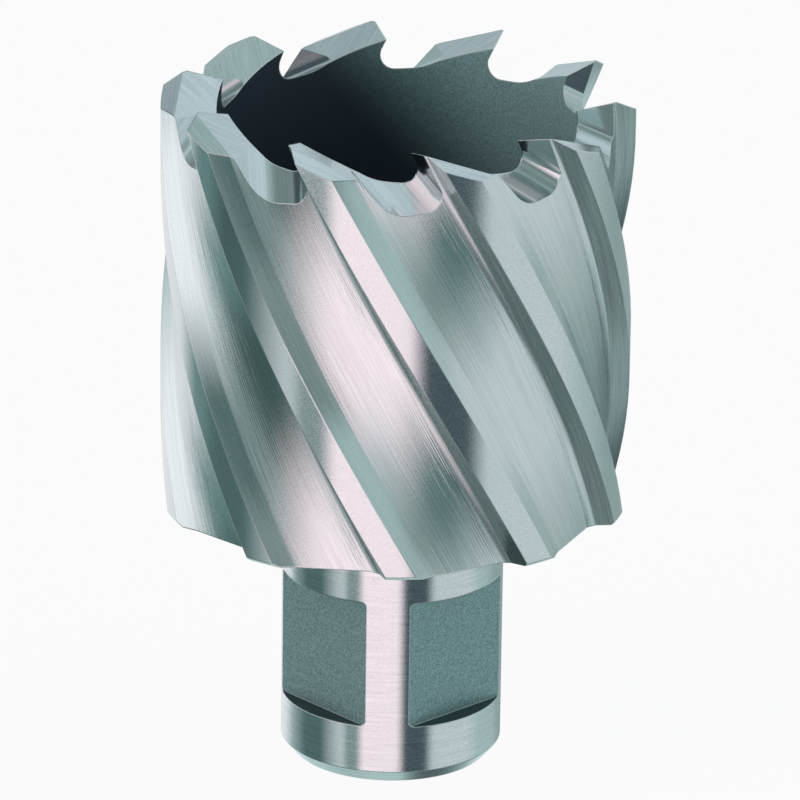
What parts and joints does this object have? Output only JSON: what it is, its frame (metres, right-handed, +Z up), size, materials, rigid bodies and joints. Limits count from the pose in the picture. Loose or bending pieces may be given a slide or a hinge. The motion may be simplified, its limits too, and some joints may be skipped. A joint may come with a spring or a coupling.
{
  "type": "annular cutter",
  "caption": "Hollow milling cutter that cuts a ring-shaped groove: helical teeth round the rim of a cup, on a plain shank with clamping flats and a pilot pin hole.",
  "frame": {"origin": "centre of the shank's flat end, the face the cutter stands on", "axes": "+Z up along the turning axis, towards the teeth; -Y is the side seen in the picture, midway between the clamping flats; +X is to its right"},
  "size_m": [0.04, 0.04, 0.0598],
  "materials": {
    "cutter": "ground high-speed steel, satin where it is ground and matt on the clamping flats"
  },
  "bodies": {
    "root": {"cutter": "cutter"}
  },
  "joints": []
}
